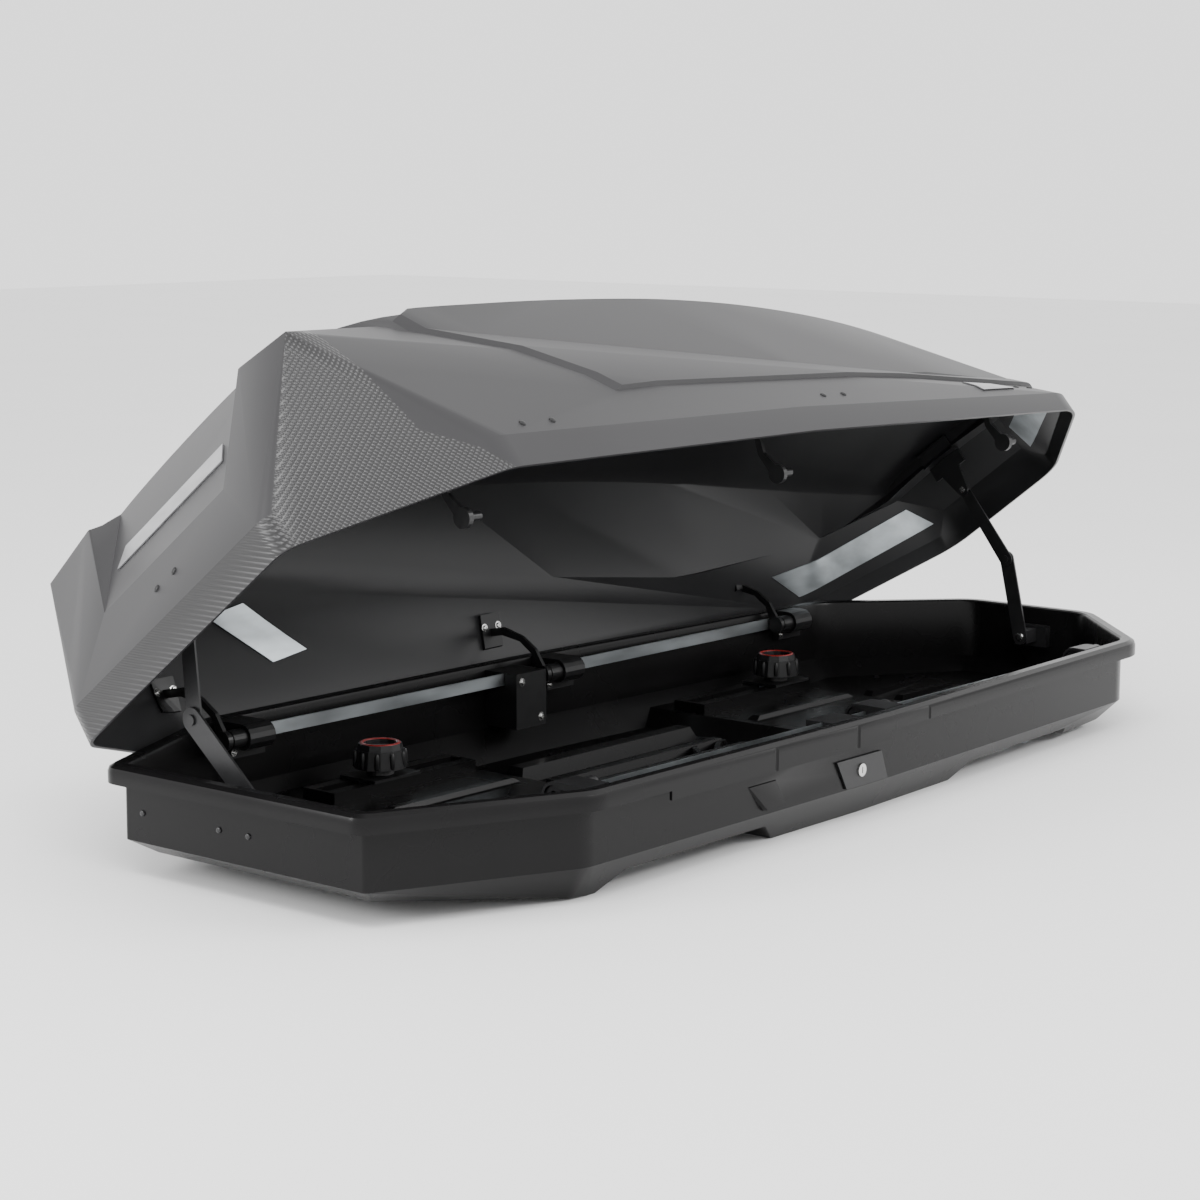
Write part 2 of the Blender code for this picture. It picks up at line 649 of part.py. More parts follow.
def make_clamp(tag, cx, side):
    cy = side * CLAMP_Y
    z0 = RAIL_Z + GAP
    low = (cx - 0.046, cy - 0.034, z0)
    carriage = box(f"clamp_{tag}_carriage", low, (cx + 0.046, cy + 0.034, z0 + 0.004))
    add(carriage, rod_z("boss", z0 + 0.003, z0 + 0.013, cx, cy, 0.020, 20, 0.017))
    cut(carriage, rod_z("bore", z0 - 0.01, z0 + 0.03, cx, cy, SPINDLE_R + RUN, 20))
    k0 = z0 + 0.013 + GAP
    knob = rod_z(f"clamp_{tag}_knob", k0, k0 + KNOB_H * 0.75, cx, cy, KNOB_R, 12, KNOB_R * 0.90)
    add(knob, rod_z("cap", k0 + KNOB_H * 0.7, k0 + KNOB_H, cx, cy, KNOB_R * 0.86, 12, KNOB_R * 0.80))
    cut(knob, rod_z("dish", k0 + KNOB_H - 0.005, k0 + KNOB_H + 0.01, cx, cy, KNOB_R * 0.60, 12))
    cut(knob, rod_z("bore", k0 - 0.01, k0 + KNOB_H - 0.010, cx, cy, SPINDLE_R + GAP, 20))
    spindle = rod_z(f"clamp_{tag}_spindle", -BAR_DEPTH, k0 + KNOB_H - 0.0105, cx, cy, SPINDLE_R, 16)
    claws = []
    for letter, way in (("a", 1), ("b", -1)):
        stem = sorted((cx + way * 0.026, cx + way * 0.034))
        low, high = cy - 0.0095, cy + 0.0095
        claw = box(f"clamp_{tag}_claw_{letter}", (stem[0], low, CLAW_Z), (stem[1], high, RAIL_Z))
        toe = sorted((cx + way * 0.0195, cx + way * 0.030))
        add(claw, box("toe", (toe[0], low, CLAW_Z), (toe[1], high, CLAW_Z + 0.003)))
        claws.append(claw)
    return [carriage, knob, spindle] + claws


# ---- plates ----


def make_badge():
    """Small blank name plate on the shoulder strip."""
    low, high = 0.034 + LID_RISE, 0.062 + LID_RISE
    flat = ((0.500, low), (0.600, low), (0.592, high), (0.492, high))
    block = hull("lid_badge", [(x, y, z) for x, z in flat for y in (-0.36, -0.26)])
    keep(block, lid_solid(-0.0016, -0.02))
    return cut(block, lid_solid(-GAP, -0.08))


def make_rear_plate():
    """Blank plate on the recessed rear panel."""
    points = []
    for out in (0.0004, 0.0024):
        for y, z in ((-0.120, 0.168), (-0.112, 0.196), (0.128, 0.168), (0.120, 0.196)):
            foot_x, foot_z = rear_face_x(0.118), 0.118
            top_x, top_z = rear_face_x(0.300) + 0.052, 0.300
            lean = (top_x - foot_x) / (top_z - foot_z)
            length = math.hypot(1.0, lean)
            x = foot_x + (z - foot_z) * lean
            points.append((x - out / length, y, z + out * lean / length + LID_RISE))
    return hull("lid_rear_plate", points)


# ---- assembly ----


def place(obj, pivot, on_lid, shader):
    """Sets the origin on the given closed-pose point, raises it to the real height and opens lid pieces."""
    obj.data.transform(Matrix.Translation(-Vector(pivot)))
    where = Vector(pivot)
    if on_lid:
        y, z = opened((pivot[1], pivot[2]))
        where = Vector((pivot[0], y, z))
        obj.rotation_euler = (-THETA, 0.0, 0.0)
    obj.location = where + Vector((0, 0, RIM_Z))
    obj.data.materials.clear()
    obj.data.materials.append(shader)


def main():
    clear_scene()
    gloss = material("lid_abs", (0.060, 0.062, 0.066), 0.0, 0.32)
    grain = material("tray_abs", (0.045, 0.047, 0.050), 0.0, 0.50)
    nylon = material("black_nylon", (0.016, 0.016, 0.017), 0.0, 0.45)
    zinc = material("galvanised_steel", (0.560, 0.600, 0.620), 1.0, 0.36)
    coated = material("coated_steel", (0.070, 0.073, 0.076), 0.6, 0.42)
    chrome = material("lock_metal", (0.750, 0.750, 0.740), 1.0, 0.20)
    plate = material("name_plate", (0.300, 0.300, 0.310), 0.8, 0.30)
    axis = (0.0, HINGE_Y, HINGE_Z)
    place(make_tray(), (0, 0, 0), False, grain)
    place(make_lid(), axis, True, gloss)
    place(make_badge(), axis, True, plate)
    place(make_rear_plate(), axis, True, plate)
    for word, side, shift in (("far", 1, 0.0), ("near", -1, SLIDE)):
        for unit, hx in zip(UNIT_NAMES, HINGE_X):
            place(make_lid_bracket(f"{word}_bracket_{unit}", hx, side), axis, True, nylon)
            pivot = (hx, side * HINGE_Y, HINGE_Z)
            place(make_sleeve(f"{word}_sleeve_{unit}", hx, side, shift), pivot, False, nylon)
            place(make_housing(f"{word}_housing_{unit}", hx, side), pivot, False, nylon)
        place(make_bar(f"{word}_bar", side, shift), (0, side * BAR_Y, HINGE_Z), False, zinc)
        lock = (LOCK_X, side * (HALF_W - 0.021), LOCK_Z)
        place(make_lock_case(f"{word}_lock_case", side), lock, False, nylon)
        place(make_escutcheon(f"{word}_escutcheon", side), lock, False, nylon)
        place(make_plug(f"{word}_key_plug", side), lock, False, chrome)
    lower, upper, tray_bracket, lid_bracket = make_rear_lifter()
    place(lower, (REAR_ARM_X, *REAR_T), False, coated)
    place(upper, (REAR_ARM_X, *opened(REAR_P)), False, coated)
    place(tray_bracket, (REAR_ARM_X, *REAR_T), False, coated)
    place(lid_bracket, axis, True, coated)
    lower, upper, tray_bracket, lid_bracket = make_front_lifter()
    place(lower, (FRONT_ARM_X, *FRONT_T), False, coated)
    place(upper, (FRONT_ARM_X, *opened(FRONT_P)), False, coated)
    place(tray_bracket, (FRONT_ARM_X, *FRONT_T), False, coated)
    place(lid_bracket, axis, True, coated)
    for tag, cx, side in CLAMPS:
        pieces = make_clamp(tag, cx, side)
        for piece, shader in zip(pieces, (nylon, nylon, zinc, zinc, zinc)):
            place(piece, (cx, side * CLAMP_Y, RAIL_Z), False, shader)


main()
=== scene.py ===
"""Looks of the roof cargo box: fine meshes, procedural materials, studio and camera."""

import json
import math

import bmesh
import bpy
from mathutils import Matrix, Vector
from mathutils.bvhtree import BVHTree


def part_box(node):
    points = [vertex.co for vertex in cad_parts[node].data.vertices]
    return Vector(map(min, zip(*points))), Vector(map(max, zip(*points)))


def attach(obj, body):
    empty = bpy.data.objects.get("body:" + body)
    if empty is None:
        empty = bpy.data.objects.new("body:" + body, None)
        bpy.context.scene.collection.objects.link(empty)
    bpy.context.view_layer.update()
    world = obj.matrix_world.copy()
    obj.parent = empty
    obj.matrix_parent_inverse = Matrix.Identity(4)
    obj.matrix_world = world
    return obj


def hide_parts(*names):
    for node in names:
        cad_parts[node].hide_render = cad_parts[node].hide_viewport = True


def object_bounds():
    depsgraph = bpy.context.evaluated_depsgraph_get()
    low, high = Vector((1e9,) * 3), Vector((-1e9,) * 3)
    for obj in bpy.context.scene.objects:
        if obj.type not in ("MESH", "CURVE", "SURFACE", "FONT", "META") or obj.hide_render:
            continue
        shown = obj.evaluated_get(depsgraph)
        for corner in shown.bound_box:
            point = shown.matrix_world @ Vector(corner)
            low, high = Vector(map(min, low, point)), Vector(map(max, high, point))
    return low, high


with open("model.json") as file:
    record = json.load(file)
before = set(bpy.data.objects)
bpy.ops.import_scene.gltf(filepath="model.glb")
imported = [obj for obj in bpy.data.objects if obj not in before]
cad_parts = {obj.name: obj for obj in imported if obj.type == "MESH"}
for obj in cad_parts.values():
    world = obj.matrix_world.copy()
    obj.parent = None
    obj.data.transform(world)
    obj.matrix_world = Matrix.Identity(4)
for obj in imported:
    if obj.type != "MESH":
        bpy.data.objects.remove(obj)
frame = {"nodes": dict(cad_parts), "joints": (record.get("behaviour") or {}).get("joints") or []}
CAD_LOW, CAD_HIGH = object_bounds()

# ---- places taken from the frame ----
TRAY_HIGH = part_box("tray")[1]
RIM_Z = TRAY_HIGH.z
HALF_L, HALF_W = TRAY_HIGH.x, TRAY_HIGH.y
LID_HINGE = next(j for j in frame["joints"] if j["name"] == "lid_hinge")
HINGE_Y = LID_HINGE["pos_m"][1]
HINGE_Z = LID_HINGE["pos_m"][2] - RIM_Z
THETA = math.radians(-min(LID_HINGE["range_deg"]))

# ---- outline of tray and lid, metres, with the rim plane at z = 0 ----
REAR_W = 0.222
REAR_X = -0.664
TAPER_X = -0.030
NOSE_SIDE_W = 0.316
NOSE_SIDE_X = 0.733
NOSE_W = 0.120
CORNERS = (
    (-HALF_L, -REAR_W, 0.030, 8),
    (REAR_X, -HALF_W, 0.090, 8),
    (TAPER_X, -HALF_W, 0.0, 0),
    (NOSE_SIDE_X, -NOSE_SIDE_W, 0.100, 10),
    (HALF_L, -NOSE_W, 0.080, 10),
)
SKIRT = 0.024
RIM_IN = 0.026
WALL = 0.004
WALL_LOW = 0.098
LOW_IN = 0.033
DEPTH = RIM_Z
KEEL = ((-0.900, 0.030), (-0.620, 0.0), (0.300, 0.0), (0.900, 0.024))
BAR_DEPTH = 0.120
CHANNELS = ((-0.565, -0.271), (0.262, 0.560))
CHANNEL_SLOPE = 0.040
RAIL_Z = -0.100
CLAMP_Y = 0.225
RAIL_HALF = 0.030
SLOT_HALF = 0.011
LID_OUT = 0.009  # lid band outside the tray outline
LID_LOW = -0.0187
LID_RISE = 0.0147
BAND_REAR = 0.030  # top of the lid's band at its rear end
BAND_FALL = 0.018  # how much lower it is at the nose
REAR_LEAN = 0.575  # forward lean of the rear face for each metre of height
LOCK_X, LOCK_Z = -0.075, -0.074
HINGE_X = {"rear": -0.645, "mid": 0.008, "front": 0.610}
SIDES = (("far", 1), ("near", -1))

ROOF = (
    # x, crown height, edge height, edge half width
    (-0.835, 0.268, 0.252, 0.172),
    (-0.720, 0.287, 0.274, 0.216),
    (-0.600, 0.299, 0.286, 0.238),
    (-0.400, 0.315, 0.292, 0.238),
    (-0.200, 0.320, 0.292, 0.236),
    (0.000, 0.314, 0.284, 0.235),
    (0.200, 0.299, 0.266, 0.230),
    (0.400, 0.270, 0.236, 0.220),
    (0.580, 0.230, 0.195, 0.204),
    (0.740, 0.182, 0.150, 0.176),
    (0.850, 0.127, 0.108, 0.136),
    (0.900, 0.098, 0.086, 0.110),
)
GROOVE = (
    # x, half width, height of the line where the raised panel meets the shoulder
    (-0.410, 0.300, 0.104),
    (0.150, 0.296, 0.096),
    (0.450, 0.282, 0.094),
    (0.760, 0.236, 0.088),
)


# ---- meshes ----


def new_object(name, bm):
    bmesh.ops.recalc_face_normals(bm, faces=bm.faces)
    mesh = bpy.data.meshes.new(name)
    bm.to_mesh(mesh)
    bm.free()
    obj = bpy.data.objects.new(name, mesh)
    bpy.context.scene.collection.objects.link(obj)
    return obj


def hull(name, points):
    bm = bmesh.new()
    for point in points:
        bm.verts.new(point)
    found = bmesh.ops.convex_hull(bm, input=bm.verts)
    spare = {v for v in found["geom_interior"] + found["geom_unused"] if isinstance(v, bmesh.types.BMVert)}
    bmesh.ops.delete(bm, geom=list(spare), context="VERTS")
    bmesh.ops.dissolve_limit(bm, angle_limit=0.004, verts=bm.verts, edges=bm.edges)
    return new_object(name, bm)


def box(name, low, high):
    xs, ys, zs = zip(low, high)
    return hull(name, [(x, y, z) for x in xs for y in ys for z in zs])


def loft(name, rings):
    """Closed body through rings of the same number of points."""
    bm = bmesh.new()
    rows = [[bm.verts.new(p) for p in points] for points in rings]
    count = len(rows[0])
    for low, high in zip(rows, rows[1:]):
        for i in range(count):
            j = (i + 1) % count
            bm.faces.new((low[i], low[j], high[j], high[i]))
    bm.faces.new(rows[0])
    bm.faces.new(rows[-1])
    return new_object(name, bm)


def turned(name, profile, center, axis, count):
    """Body of revolution. The profile is (radius, height) pairs, from and to radius 0 for a closed body."""
    bm = bmesh.new()
    rows = []
    for radius, height in profile:
        row = []
        for i in range(count if radius else 1):
            a = math.tau * i / count
            p = (radius * math.cos(a), radius * math.sin(a), height)
            if axis == "y":
                p = (p[1], p[2], p[0])
            row.append(bm.verts.new(Vector(center) + Vector(p)))
        rows.append(row)
    for a, b in zip(rows, rows[1:]):
        for i in range(count):
            j = (i + 1) % count
            corners = [a[i % len(a)], a[j % len(a)], b[j % len(b)], b[i % len(b)]]
            face = list(dict.fromkeys(corners))
            if len(face) > 2:
                bm.faces.new(face)
    return new_object(name, bm)


def combine(obj, other, operation):
    step = obj.modifiers.new(operation, "BOOLEAN")
    step.operation = operation
    step.solver = "EXACT"
    step.object = other
    apply_all(obj)
    bpy.data.objects.remove(other, do_unlink=True)
    return obj


def apply_all(obj):
    bpy.context.view_layer.update()
    graph = bpy.context.evaluated_depsgraph_get()
    mesh = bpy.data.meshes.new_from_object(obj.evaluated_get(graph))
    obj.modifiers.clear()
    obj.data = mesh
    return obj


def add(obj, other):
    return combine(obj, other, "UNION")


def cut(obj, other):
    return combine(obj, other, "DIFFERENCE")


def rounded(obj, width, segments, angle):
    """Rounds the edges sharper than the angle, as a real change of the mesh."""
    step = obj.modifiers.new("round", "BEVEL")
    step.width = width
    step.segments = segments
    step.limit_method = "ANGLE"
    step.angle_limit = math.radians(angle)
    step.harden_normals = False
    return apply_all(obj)


def smooth(obj, angle):
    obj.data.shade_smooth()
    obj.data.set_sharp_from_angle(angle=math.radians(angle))
    return obj


# ---- plan outline ----


def grown(off):
    """The plan's corners moved outward by off: place, radius, steps of the arc, way in, way out."""
    near = [list(c) for c in CORNERS]
    far = [[x, -y, r, n] for x, y, r, n in reversed(CORNERS)]
    corners = near + far
    out = []
    for i, (x, y, r, n) in enumerate(corners):
        here = Vector((x, y))
        before = (here - Vector(corners[i - 1][:2])).normalized()
        after = (Vector(corners[(i + 1) % len(corners)][:2]) - here).normalized()
        n1 = Vector((before.y, -before.x))
        mid = (n1 + Vector((after.y, -after.x))).normalized()
        radius = max(r + off, 0.004) if n else 0.0
        out.append((here + mid * (off / mid.dot(n1)), radius, n, before, after))
    return out


def outline(off):
    """Points of the plan outline grown by off, anticlockwise, the same count for every off."""
    points = []
    for here, radius, count, before, after in grown(off):
        if not count:
            points.append((here.x, here.y))
            continue
        turn = abs(before.angle_signed(after))
        inward = Vector((-before.y, before.x))
        center = here - before * radius * math.tan(turn / 2) + inward * radius
        start = math.atan2(-inward.y, -inward.x)
        for k in range(count + 1):
            angle = start + turn * k / count
            points.append((center.x + radius * math.cos(angle), center.y + radius * math.sin(angle)))
    return points


def ring(off, z):
    return [(x, y, z) for x, y in outline(off)]


def half_width(x):
    if x < REAR_X:
        return HALF_W - (REAR_X - x) * (HALF_W - REAR_W) / (REAR_X + HALF_L)
    if x < TAPER_X:
        return HALF_W
    return HALF_W - (x - TAPER_X) * (HALF_W - NOSE_SIDE_W) / (NOSE_SIDE_X - TAPER_X)


def underside(x):
    xs, rises = zip(*KEEL)
    rear = (xs[1] - x) / (xs[1] - xs[0]) * rises[0]
    front = (x - xs[2]) / (xs[3] - xs[2]) * rises[3]
    return -DEPTH + max(0.0, rear, front)


def keel_ring(off, lift):
    points = list(outline(off))
    for x, _ in KEEL[1:-1]:
        points += [(x, half_width(x) + off), (x, -half_width(x) - off)]
    return [(x, y, underside(x) + lift) for x, y in points]


# ---- placing ----


def lid_matrix():
    """From the closed lid's place, rim plane at z = 0, to the open lid in the frame."""
    pivot = Vector((0.0, HINGE_Y, HINGE_Z))
    turn = Matrix.Rotation(-THETA, 4, "X")
    return Matrix.Translation(pivot + Vector((0, 0, RIM_Z))) @ turn @ Matrix.Translation(-pivot)


LID_PLACE = lid_matrix()
TRAY_PLACE = Matrix.Translation((0, 0, RIM_Z))


def finish_piece(obj, body, shader, place=None, nodes=(), angle=30.0):
    if place is not None:
        obj.data.transform(place)
    smooth(obj, angle)
    obj.data.materials.clear()
    obj.data.materials.append(shader)
    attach(obj, body)
    if nodes:
        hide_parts(*nodes)
    return obj


# ---- lid, modelled closed ----


def row_at(table, x):
    """A table's row at x, on a smooth curve through its rows."""
    xs = [row[0] for row in table]
    i = max(1, min(len(xs) - 1, sum(v <= x for v in xs)))
    a, b = table[i - 1], table[i]
    before = table[max(i - 2, 0)]
    after = table[min(i + 1, len(table) - 1)]
    span = b[0] - a[0]
    t = min(max((x - a[0]) / span, 0.0), 1.0)
    out = []
    for k in range(1, len(a)):
        m0 = (b[k] - before[k]) / (b[0] - before[0]) * span
        m1 = (after[k] - a[k]) / (after[0] - a[0]) * span
        t2, t3 = t * t, t * t * t
        near = a[k] * (2 * t3 - 3 * t2 + 1) + m0 * (t3 - 2 * t2 + t)
        out.append(near + b[k] * (3 * t2 - 2 * t3) + m1 * (t3 - t2))
    return out


def rear_face_x(z):
    return -HALF_L - LID_OUT + (z - BAND_REAR) * REAR_LEAN


def mirrored(points):
    return points + [(x, -y, z) for x, y, z in points]


def band_ring(inset):
    """Upper edge of the upright band round the lid."""
    points = []
    for x, y in outline(LID_OUT - 0.001 - inset):
        fall = min(max((x + HALF_L) / (2 * HALF_L), 0.0), 1.0)
        points.append((x, y, BAND_REAR - BAND_FALL * fall - inset))
    return points


SHOULDER = (
    # corners of the far shoulder, from the rear to the nose; the near one mirrors them
    (-0.828, 0.284, 0.243),
    (-0.820, 0.185, 0.260),
    (-0.600, 0.236, 0.274),
    (-0.400, 0.296, 0.100),
    (0.150, 0.290, 0.096),
    (0.450, 0.276, 0.093),
    (0.760, 0.232, 0.095),
    (0.868, 0.130, 0.092),
    (0.936, 0.100, 0.046),
)
REAR_PEAK = (-0.815, 0.268)  # x and height on the centre line
NOSE_PEAK = (0.880, 0.100)
END_SHARE = 0.9  # share of an inset by which a leaning end face moves along x
PANEL_ENDS = (-0.812, 0.850)
PANEL_ROWS = 46
CROWN = (
    # share of the half width, share of the crown's rise over the edge
    (1.0, 0.0),
    (0.985, 0.07),
    (0.95, 0.17),
    (0.85, 0.40),
    (0.7, 0.63),
    (0.5, 0.82),
    (0.25, 0.96),
)
RECESS_FOOT, RECESS_TOP = 0.118, 0.300  # heights of the rear recess
RECESS_DEPTH = 0.052
RECESS_FOOT_HALF = 0.140
RECESS_TOP_HALVES = (0.176, 0.192, 0.215)  # at its back wall, on the way out and outside the lid


def end_shift(x, inset, rear, front):
    """How far a point near either end moves inward for the given inset."""
    if x < rear:
        return END_SHARE * inset
    return -END_SHARE * inset if x > front else 0.0


def shoulder_body(inset, low):
    points = ring(LID_OUT - inset, low) + band_ring(inset)
    upper = [(x + end_shift(x, inset, -0.7, 0.7), y - inset, z - inset) for x, y, z in SHOULDER]
    upper.append((REAR_PEAK[0] + inset * END_SHARE, 0.0, REAR_PEAK[1] - inset))
    upper.append((NOSE_PEAK[0] - inset * END_SHARE, 0.0, NOSE_PEAK[1] - inset))
    return hull("shoulder", points + mirrored(upper))


def panel_body(inset):
    """Raised panel on top of the lid, a smooth crown over the whole length."""
    points = []
    for x, y, z in GROOVE:
        shift = end_shift(x, inset, -0.3, 0.7)
        points += [(x + shift, y - inset, z - inset), (x + shift, y - inset - 0.03, 0.03)]
    start, end = PANEL_ENDS
    for i in range(PANEL_ROWS + 1):
        x = start + (end - start) * i / PANEL_ROWS
        crown, edge, half = row_at(ROOF, x)
        x += end_shift(x, inset, -0.5, 0.7)
        for share, rise in CROWN:
            y = half * share - inset * (share > 0.9)
            points.append((x, y, edge + (crown - edge) * rise - inset))
        points.append((x, 0.0, crown - inset))
    points += [(-0.78, 0.12, 0.05), (0.80, 0.10, 0.03)]
    return hull("panel", mirrored(points))


def recess(grow):
    """Wedge cut into the rear face: flush at its foot, deep at the top."""
    foot_z = RECESS_FOOT - grow
    foot_x = rear_face_x(foot_z) + grow
    top_z = RECESS_TOP
    top_x = rear_face_x(top_z) + RECESS_DEPTH + grow
    outside_x = -1.05
    inner, middle, outer = RECESS_TOP_HALVES
    points = []
    for side in (-1, 1):
        foot_y = side * (RECESS_FOOT_HALF + grow)
        points += [(foot_x, foot_y, foot_z), (top_x, side * (inner + grow), top_z)]
        points += [(outside_x, foot_y, foot_z), (outside_x, side * (outer + grow), top_z)]
        points += [(top_x - 0.05, side * (middle + grow), top_z)]
    return hull("recess", points)


def lid_solid(inset, low):
    """The lid's outer form, moved inward by inset, down to the height low."""
    solid = cut(add(shoulder_body(inset, low), panel_body(inset)), recess(inset))
    solid.data.transform(Matrix.Translation((0.0, 0.0, LID_RISE)))
    return solid


PANEL_PROUD = 0.0046  # height of the raised panel over the shoulders
PANEL_CORNER = (-0.590, -0.240, 0.275)  # where its rear step meets the roof
PANEL_FOOT = (-0.452, -0.338, 0.086)  # where its rear step meets the groove
PANEL_NOSE = (0.450, -0.280, 0.100)  # further along the groove
PANEL_FRONT = (0.860, 0.0, 0.095)  # where the panel ends at the nose
PANEL_FRONT_WAY = (0.6, 0.0, -0.8)
SIDE_WAY = Vector((0.0, -0.948, 0.318))  # the near side's outward direction
STEP_SLOPE = math.radians(24.0)
GROOVE_SLOPE = math.radians(65.0)
# front edge of the embossed corner fields, x and height
WOVEN_EDGE = ((-0.790, 0.290), (-0.764, 0.162), (-0.743, 0.081), (-0.689, 0.035), (-0.640, -0.030))
BAND_TOP = 0.043  # top of the embossed band on the rear face
WOVEN_INNER_Y = 0.215  # the fields lie outside this half width
LID_ROUND = 0.0028
HOLLOW_LOW = -0.06  # the hollow reaches below the lid's lower edge


def beyond(point, way):
    """Large block on the far side of a plane."""
    block = box("beyond", (-3.0, -3.0, 0.0), (3.0, 3.0, 3.0))
    return facing(block, Vector(point), way)


def raised_panel():
    """The proud part of the lid: a sloping step at its rear, a groove along each shoulder."""
    panel = lid_solid(-PANEL_PROUD, 0.0)
    panel.data.transform(Matrix.Translation((0.0, 0.0, -LID_RISE)))
    corner, foot, nose = Vector(PANEL_CORNER), Vector(PANEL_FOOT), Vector(PANEL_NOSE)
    cut(panel, beyond(corner, (-math.sin(STEP_SLOPE), 0.0, math.cos(STEP_SLOPE))))
    cut(panel, beyond((corner.x - 0.010, 0.0, 0.0), (-1.0, 0.0, 0.0)))
    cut(panel, beyond(PANEL_FRONT, PANEL_FRONT_WAY))
    for start, end, slope in ((corner, foot, STEP_SLOPE), (foot, nose, GROOVE_SLOPE)):
        ahead = SIDE_WAY.cross((end - start).normalized())
        way = SIDE_WAY * math.cos(slope) - ahead * math.sin(slope)
        for side in (1.0, -1.0):
            cut(panel, beyond((start.x, start.y * side, start.z), (way.x, way.y * side, way.z)))
    panel.data.transform(Matrix.Translation((0.0, 0.0, LID_RISE)))
    return panel


def woven_x(z):
    """Where the embossed corner field ends, at a given height."""
    for (x0, z0), (x1, z1) in zip(WOVEN_EDGE, WOVEN_EDGE[1:]):
        if z >= z1:
            return x0 + (x1 - x0) * (z - z0) / (z1 - z0)
    return WOVEN_EDGE[-1][0]


def split_at_woven_edge(obj):
    """Cuts the side faces along the edge of the embossed fields, so that a face is all in or all out."""
    bm = bmesh.new()
    bm.from_mesh(obj.data)
    for (x0, z0), (x1, z1) in zip(WOVEN_EDGE, WOVEN_EDGE[1:]):
        faces = [f for f in bm.faces if abs(f.normal.y) > 0.3 and f.calc_center_bounds().x < 0.2]
        geom = {*faces, *(e for f in faces for e in f.edges), *(v for f in faces for v in f.verts)}
        way = (z1 - z0, 0.0, x0 - x1)
        bmesh.ops.bisect_plane(bm, geom=list(geom), plane_co=(x0, 0.0, z0), plane_no=way, dist=1e-5)
    bm.to_mesh(obj.data)
    bm.free()


def is_woven(center, normal):
    """Whether an outer face belongs to the embossed corner fields or the rear band."""
    if normal.x < -0.7:
        return center.z < BAND_TOP
    on_side = abs(normal.y) > 0.3 and abs(center.y) > WOVEN_INNER_Y
    return on_side and center.x < woven_x(center.z)


def make_lid(satin, woven, inner):
    lid = add(lid_solid(0.0, LID_LOW), raised_panel())
    lid = rounded(lid, LID_ROUND, 3, 12.0)
    split_at_woven_edge(lid)
    lid.data.materials.clear()
    for shader in (satin, woven, inner):
        lid.data.materials.append(shader)
    for face in lid.data.polygons:
        face.material_index = int(is_woven(face.center, face.normal))
    # The hollow's faces take the inner material, whose darker colour is painted shade inside the lid
    hollow = lid_solid(WALL, HOLLOW_LOW)
    hollow.data.materials.clear()
    hollow.data.materials.append(inner)
    cut(lid, hollow)
    lid.name = "lid_shell"
    return smooth(lid, 24.0)


# ---- tray ----

SEAT_HALF_X, SEAT_HALF_Y = 0.09, 0.160
MIDDLE_RIBS = (-0.215, 0.205)  # x range of the ribs between the channels
ARCS_AT = (0.215, 0.0)
ARC_RADII = (0.070, 0.105, 0.140)
END_RIB_PITCH = 0.06
RIM_GROOVES = (-0.299, -0.110, 0.073)
LOCK_HOLE = 0.0115
WEDGE_FLAT = ((-0.334, -0.054), (-0.268, -0.054), (-0.250, -0.092), (-0.300, -0.092))
WEDGE_LOW = ((-0.330, -0.056), (-0.272, -0.056))  # where it stands 1.2 mm proud
WEDGE_HIGH = ((-0.256, -0.090), (-0.298, -0.090))  # where it stands 7.5 mm proud


def channel_block(name, x0, x1, grow, z_low, z_top, half):
    """Block over one roof-bar channel, wider at its foot."""
    slope = CHANNEL_SLOPE
    run = slope * (z_low + DEPTH + 0.001) / (DEPTH - BAR_DEPTH)
    points = []
    for y in (-half, half):
        points += [(x0 - grow, y, z_top), (x1 + grow, y, z_top)]
        points += [(x0 - grow - slope + run, y, z_low), (x1 + grow + slope - run, y, z_low)]
    return hull(name, points)


def ridge(x0, x1, y, half, z0, height):
    """Lengthwise floor rib with sloping sides and ends."""
    low = [(x, y + s, z0) for x in (x0, x1) for s in (-half, half)]
    inner = half * 0.62
    high = [(x, y + s, z0 + height) for x in (x0 + 0.012, x1 - 0.012) for s in (-inner, inner)]
    return hull("ridge", low + high)


def arc_rib(center, radius, a0, a1, half, z0, height):
    """Floor rib along an arc of a circle."""
    steps = 18
    rows = []
    for i in range(steps + 1):
        a = math.radians(a0 + (a1 - a0) * i / steps)
        way = Vector((math.cos(a), math.sin(a), 0.0))
        mid = Vector((*center, 0.0)) + way * radius
        profile = ((-half, z0), (half, z0), (half * 0.55, z0 + height), (-half * 0.55, z0 + height))
        rows.append([mid + way * off + Vector((0.0, 0.0, z)) for off, z in profile])
    return loft("arc", rows)


def make_tray():
    t = WALL
    lower = -RIM_IN + t
    rim = ring(0.0, -SKIRT) + ring(0.0, -0.009) + ring(-0.002, -0.004) + ring(-0.009, 0.0)
    tray = hull("tray_shell", rim)
    cut(tray, hull("under_rim", ring(-t, -0.06) + ring(-t, -t)))
    walls = ring(lower, -t + 0.001) + ring(lower, -WALL_LOW) + keel_ring(lower - LOW_IN, 0.0)
    add(tray, hull("walls", walls))
    floor = keel_ring(-RIM_IN - LOW_IN + 0.001, t)
    cut(tray, hull("inside", ring(-RIM_IN, 0.01) + ring(-RIM_IN, -WALL_LOW + 0.0015) + floor))
    flare = [ring(-RIM_IN - 0.001, -0.012), ring(-RIM_IN, -0.006)]
    flare += [ring(-RIM_IN + 0.0015, -0.002), ring(-RIM_IN + 0.005, 0.0003)]
    cut(tray, loft("flare", flare))
    add_channels(tray, lower)
    add_floor_ribs(tray)
    add_wall_details(tray)
    return tray


